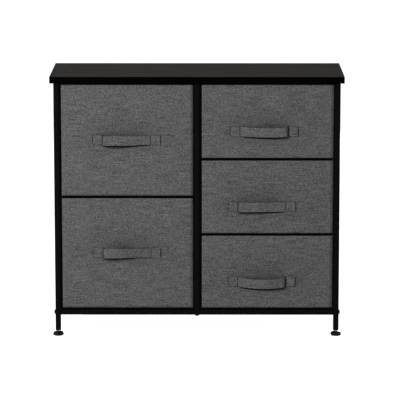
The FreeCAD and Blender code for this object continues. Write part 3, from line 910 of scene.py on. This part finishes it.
def spinOutline(bm, outline, centre, angle, steps, rise=0.0):
    # turns an outline of (radius, height) round an upright axis, climbing by rise at each step
    verts = [bm.verts.new(centre + Vector((radius, 0, height))) for radius, height in outline]
    edges = [bm.edges.new(pair) for pair in zip(verts, verts[1:])]
    bmesh.ops.spin(bm, geom=verts + edges, cent=centre, axis=(0, 0, 1), dvec=(0, 0, rise),
                   angle=angle, steps=steps, use_merge=rise == 0)
    bmesh.ops.remove_doubles(bm, verts=bm.verts[:], dist=0.02 * mm)
    bmesh.ops.recalc_face_normals(bm, faces=bm.faces[:])


def makeFoot(name):
    padLow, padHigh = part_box(name + "_pad")
    centre = (padLow + padHigh) / 2
    centre.z = padLow.z
    pad = bmesh.new()
    outline = [(radius * mm, height * mm) for radius, height in padOutline]
    spinOutline(pad, outline, centre, math.tau, padSteps)
    finishPiece(pad, name + "_round_pad", nylon, name, [name + "_pad"], creaseAngle=50)

    studLow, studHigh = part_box(name + "_stud")
    radius, pitch, steps = (studHigh.x - studLow.x) / 2, footThread["pitch"], footThread["steps"]
    root = radius - footThread["depth"]
    turns = int((studHigh.z - studLow.z) / pitch) - 1
    crest = [(radius, pitch * share) for share in footThread["crest"]]
    ridge = [(root, 0), *crest, (root, pitch)]
    stud = bmesh.new()
    spinOutline(stud, ridge, Vector((centre.x, centre.y, studLow.z)), math.tau * turns, steps * turns,
                pitch / steps)
    core = Matrix.Translation((centre.x, centre.y, (studLow.z + studHigh.z) / 2))
    coreRadius = root + footThread["sunk"]
    bmesh.ops.create_cone(stud, cap_ends=True, segments=footThread["coreSides"], radius1=coreRadius,
                          radius2=coreRadius, depth=studHigh.z - studLow.z, matrix=core)
    finishPiece(stud, name + "_threaded_stud", zinc, name, [name + "_stud"], creaseAngle=30)


for foot in feet:
    makeFoot(foot)


# Floor, light and camera
print("stage")

stage = {
    "floorSize": 60, "floorColour": "#f2f2f2", "floorGlow": 0.92,
    "sky": 0.2,                       # ambient light
    "keyPlace": (-2.4, -2.9, 2.0), "keyAim": (0, 0, 0.35), "keySize": (0.9, 0.7), "keyPower": 134,
    "fillPlace": (2.6, -2.6, 1.4), "fillAim": (0, 0, 0.3), "fillSize": (1.2, 1.2), "fillPower": 8,
    # below the tabletop's level, so that it lights the back and leaves the top alone
    "rearPlace": (1.4, 3.2, 0.42), "rearAim": (0, 0, 0.36), "rearSize": (1.6, 0.5), "rearPower": 60,
}
camera = {"place": (0.0252, -7.0, 1.6294), "lens": 229.75, "tilt": 10.32, "turn": -0.142}


def seenByEye(tree):
    # 1 for the rays by which the eye sees the background: straight, in a reflection or through something
    path = addNode(tree, "ShaderNodeLightPath")
    either = addMath(tree, "MAXIMUM", path.outputs["Is Camera Ray"], path.outputs["Is Glossy Ray"])
    return addMath(tree, "MAXIMUM", either, path.outputs["Is Transmission Ray"])


def makeFloor():
    bm = bmesh.new()
    bmesh.ops.create_grid(bm, x_segments=1, y_segments=1, size=stage["floorSize"] / 2)
    mesh = bpy.data.meshes.new("floor")
    bm.to_mesh(mesh)
    bm.free()
    material, tree, shader = startMaterial("paintedFloor", stage["floorColour"], 0.9, 0.0)
    cloud = addNoise(tree, objectPlace(tree), scale=3.0, detail=2.0)
    tree.links.new(mixColours(tree, "#f0f0f0", "#f4f4f4", cloud), shader.inputs["Base Color"])
    # the floor glows a little below white for the camera, so its light brings it to white and shadows stay
    glow = addMath(tree, "MULTIPLY", seenByEye(tree), stage["floorGlow"])
    white = addNode(tree, "ShaderNodeEmission", links={"Strength": glow})
    both = addNode(tree, "ShaderNodeAddShader", links={0: shader.outputs[0], 1: white.outputs[0]})
    tree.links.new(both.outputs[0], tree.nodes["Material Output"].inputs["Surface"])
    mesh.materials.append(material)
    floor = bpy.data.objects.new("floor", mesh)
    bpy.context.scene.collection.objects.link(floor)


def makeWorld():
    world = bpy.data.worlds.new("studio")
    world.use_nodes = True
    tree = world.node_tree
    sky = tree.nodes["Background"]
    sky.inputs["Color"].default_value = (1, 1, 1, 1)
    sky.inputs["Strength"].default_value = stage["sky"]
    white = addNode(tree, "ShaderNodeBackground", {"Color": (1, 1, 1, 1), "Strength": 1.0})
    shown = {0: seenByEye(tree), 1: sky.outputs[0], 2: white.outputs[0]}
    mixed = addNode(tree, "ShaderNodeMixShader", links=shown)
    tree.links.new(mixed.outputs[0], tree.nodes["World Output"].inputs["Surface"])
    bpy.context.scene.world = world


def makeLamp(name, place, aim, size, power):
    data = bpy.data.lights.new(name, "AREA")
    data.shape = "RECTANGLE"
    data.size, data.size_y = size
    data.energy = power
    lamp = bpy.data.objects.new(name, data)
    bpy.context.scene.collection.objects.link(lamp)
    lamp.location = place
    lamp.rotation_euler = (Vector(aim) - Vector(place)).to_track_quat("-Z", "Y").to_euler()


def makeCamera():
    data = bpy.data.cameras.new("camera")
    data.lens = camera["lens"]
    eye = bpy.data.objects.new("camera", data)
    bpy.context.scene.collection.objects.link(eye)
    eye.location = camera["place"]
    eye.rotation_euler = (math.radians(90 - camera["tilt"]), 0, math.radians(-camera["turn"]))
    bpy.context.scene.camera = eye


makeFloor()
makeWorld()
makeLamp("keyPanel", stage["keyPlace"], stage["keyAim"], stage["keySize"], stage["keyPower"])
makeLamp("fillPanel", stage["fillPlace"], stage["fillAim"], stage["fillSize"], stage["fillPower"])
makeLamp("rearPanel", stage["rearPlace"], stage["rearAim"], stage["rearSize"], stage["rearPower"])
makeCamera()
bpy.context.scene.view_settings.view_transform = "Standard"
